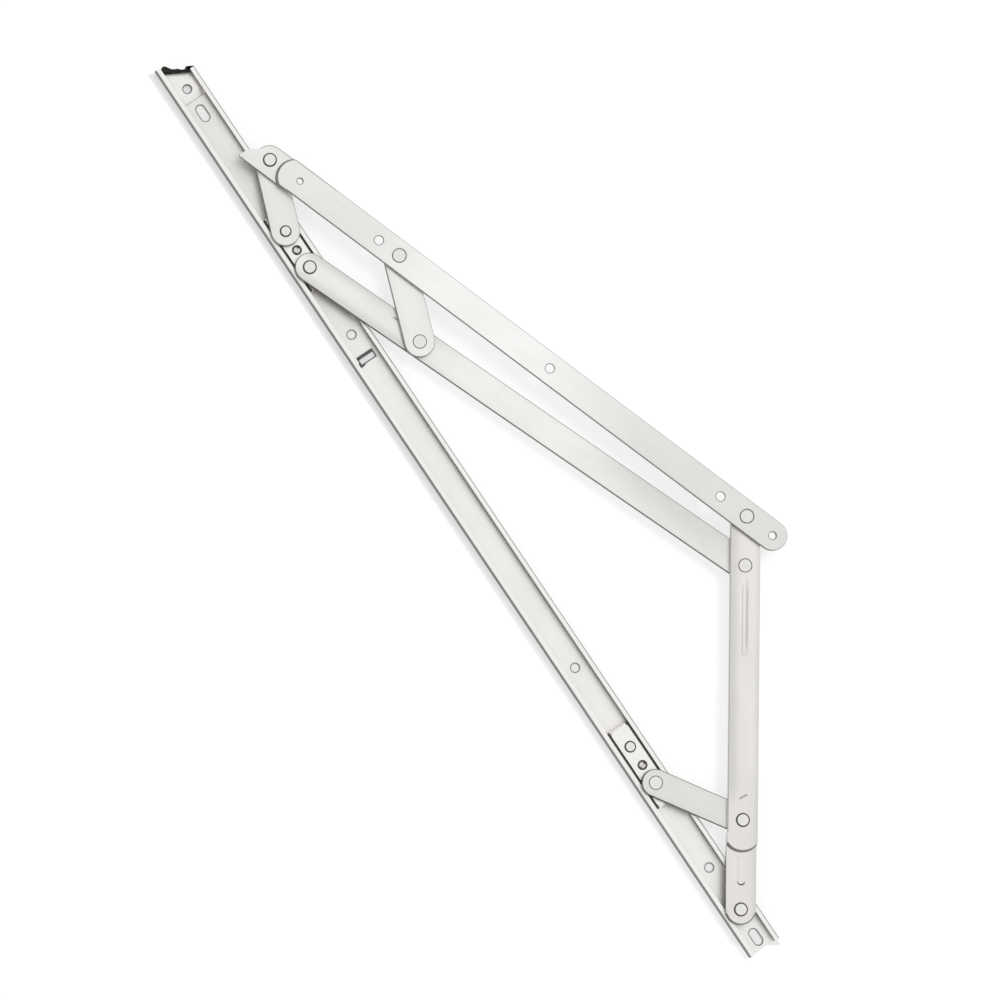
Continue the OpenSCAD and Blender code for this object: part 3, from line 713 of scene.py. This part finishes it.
def link_side_shade(strip):
    """A little darker towards both sides: painted shade of a crowned face."""
    return 0.3 * (strip.off_line / BAR_HALF).above(0.45, 1.05)


# Bar: its two pivots, its tones (face, dull face, and chamfer painted darker as shade), and the
# functions that mark it.
BARS = {
    "short_arm": (
        "fixed_pivot_rivet", "sash_arm_rivet",
        ((0.83, 0.81, 0.785, 1), (0.66, 0.645, 0.625, 1), (0.66, 0.645, 0.625, 1)),
        {"dulling_and_shade": short_arm_dull_and_shade, "wall_darkening": short_arm_edge, "shade_marks": short_arm_shade_marks},
    ),
    "long_arm": (
        "long_arm_rivet", "elbow_rivet",
        ((0.90, 0.895, 0.875, 1), (0.70, 0.69, 0.67, 1), (0.20, 0.195, 0.185, 1)),
        {"dulling_and_shade": long_arm_dull_and_shade},
    ),
    "top_link": (
        "top_link_rivet", "sash_tip_rivet",
        ((0.82, 0.805, 0.78, 1), (0.72, 0.705, 0.68, 1), (0.40, 0.395, 0.38, 1)),
        {"dulling_and_shade": link_side_shade},
    ),
    "middle_link": (
        "middle_link_rivet", "sash_link_rivet",
        ((0.86, 0.85, 0.83, 1), (0.76, 0.75, 0.73, 1), (0.45, 0.445, 0.43, 1)),
        {"dulling_and_shade": link_side_shade},
    ),
    "friction_link": (
        "friction_link_rivet", "brake_rivet",
        ((0.76, 0.75, 0.725, 1), (0.67, 0.66, 0.64, 1), (0.10, 0.098, 0.092, 1)),
        {"dulling_and_shade": link_side_shade},
    ),
    "sash_arm": (
        "sash_tip_rivet", "sash_arm_rivet",
        ((0.955, 0.945, 0.93, 1), (0.76, 0.75, 0.73, 1), (0.46, 0.455, 0.44, 1)),
        {"dulling_and_shade": sash_arm_light_and_shade, "shade_marks": sash_tip_rim_shade},
    ),
}
for bar, (first, second, tones, marks) in BARS.items():
    lie = (middle(first), heading_of(first, second))
    dress(bar, steel_finish(bar + "_steel", lie, tones, **marks))


# The washers.
# Thin rings punched from natural nylon sheet. They lie loose round the rivets, between one
# bar and the next, and keep steel from rubbing on steel.
NYLON = (0.80, 0.78, 0.72, 1)
NYLON_YELLOWED = (0.66, 0.63, 0.56, 1)


def nylon_finish():
    """Nylon, yellowed in clouds."""
    material, shader, sums = new_finish("nylon", 0)
    cloud = noise(own_point(sums), 3, scale=0.3 / MM)
    feed(
        shader,
        Base_Color=cloud.mix(NYLON, NYLON_YELLOWED),
        Roughness=0.38 + 0.15 * cloud,
    )
    return material


nylon = nylon_finish()
for node in ("short_arm_washers", "long_arm_washer", "sash_arm_washers"):
    dress(node, nylon)


# The rivets and collars.
# Each rivet is turned from bright wire, put through its bars and spun over: a head with a
# rolled flank painted dark as shade, a bright crown and a shallow dimple. Those in the face of
# the sash arm are flush in their seats. Sizes in the tables are millimetres.
RIVET_FACE = (0.86, 0.845, 0.815, 1)
RIVET_DULL = (0.74, 0.73, 0.70, 1)
RIVET_FLANK_SHADE = (0.14, 0.137, 0.13, 1)
# The plan of a head is counted in units of this size, with so many tool rings to the unit.
PLAN_UNIT = 10 * MM
RINGS = 60
SPIN_STEPS = 72
SHANK_R = 2.5
TAIL_R = 3.8
TAIL_ROUNDING = 0.12
DIMPLE = 0.04
# Head outlines from the rim to the axis: distance in from the rim, and share of the height.
DOMED = ((0, 0.0), (0, 0.12), (0.36, 0.72), (0.62, 0.92), (1.0, 1.0), (2.3, 1.0), (2.7, 0.88))
FLUSH = ((0, 0.0), (0, 0.45), (0.42, 1.0), (2.4, 1.0), (2.7, 0.85))
FLAT = ((0, 0.0), (0.05, 0.25), (0.55, 1.0), (2.4, 1.0), (2.7, 0.6))
# Rivet: outline of its head, radius and height of the head, height of its tail.
RIVETS = {
    "fixed_pivot_rivet": (DOMED, 3.8, 1.1, 0.6),
    "brake_rivet": (DOMED, 3.8, 1.1, 0.3),
    "sash_tip_rivet": (DOMED, 3.8, 1.1, 0.3),
    "top_link_rivet": (DOMED, 3.2, 1.1, 0.6),
    "long_arm_rivet": (DOMED, 3.8, 1.1, 0.6),
    "lower_shoe_rivet": (DOMED, 3.2, 1.1, 0.6),
    "elbow_rivet": (FLAT, 3.8, 0.3, 0.3),
    "middle_link_rivet": (FLAT, 3.8, 0.25, 0.3),
    "friction_link_rivet": (FLAT, 3.8, 0.25, 0.6),
    "sash_arm_rivet": (FLUSH, 3.8, 0.6, 0.3),
    "sash_link_rivet": (FLUSH, 3.8, 0.6, 0.25),
}


def turned_finish(name):
    """Bright turned steel, with rings about the axis of the piece, and its sloping flank painted
    dark as shade.
    """
    material, shader, sums = new_finish(name, 1)
    plan = sums.node("ShaderNodeUVMap", {"uv_map": "face_plan"})
    radius = plan.node("ShaderNodeVectorMath", {"operation": "LENGTH"}, {0: plan}, "Value")
    rings = sums.node(
        "ShaderNodeTexNoise",
        {"noise_dimensions": "1D"},
        {"W": radius * RINGS, "Scale": 1.0, "Detail": 2.0},
    )
    dents = noise(own_point(sums), 2, scale=1.1 / MM)
    face = (0.5 * rings + 0.4 * dents).mix(RIVET_FACE, RIVET_DULL)
    # The sloping flank is painted dark as shade.
    flank_shade = upright(sums).below(0.93, 0.99)
    feed(
        shader,
        Base_Color=flank_shade.mix(face, RIVET_FLANK_SHADE),
        Roughness=0.22 + 0.10 * rings + 0.08 * dents,
        Normal=bump(rings + dents, 0.15, 0.03 * MM),
    )
    return material


def turned_body(node, outline):
    """A solid of revolution about the middle of a CAD node, from radii and heights."""
    axis = middle(node)
    body = bmesh.new()
    points = [body.verts.new((radius * MM, 0, height * MM)) for radius, height in outline]
    lines = [body.edges.new(ends) for ends in zip(points, points[1:])]
    bmesh.ops.spin(
        body, geom=points + lines, cent=(0, 0, 0), axis=(0, 0, 1), dvec=(0, 0, 0),
        angle=math.tau, steps=SPIN_STEPS, use_merge=True,
    )
    bmesh.ops.remove_doubles(body, verts=body.verts, dist=WELD / 2)
    plan = body.loops.layers.uv.new("face_plan")
    for face in body.faces:
        for loop in face.loops:
            loop[plan].uv = loop.vert.co.xy / PLAN_UNIT
    bmesh.ops.translate(body, verts=body.verts, vec=(axis.x, axis.y, 0))
    return body


turned_steel = turned_finish("turned_steel")
for node, (shape, head_r, head_h, tail_h) in RIVETS.items():
    low, high = (corner.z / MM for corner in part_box(node))
    seat = high - head_h
    tail = [
        (0, low), (TAIL_R - TAIL_ROUNDING, low), (TAIL_R, low + TAIL_ROUNDING),
        (TAIL_R, low + tail_h), (SHANK_R, low + tail_h), (SHANK_R, seat),
    ]
    head = [(head_r - inwards, seat + share * head_h) for inwards, share in shape]
    dimple = [(0, head[-1][1] - DIMPLE)]
    new_piece(node, turned_body(node, tail + head + dimple), turned_steel)

for node in ("fixed_pivot_collar", "upper_slide_collars", "lower_slide_collar"):
    dress(node, turned_steel)
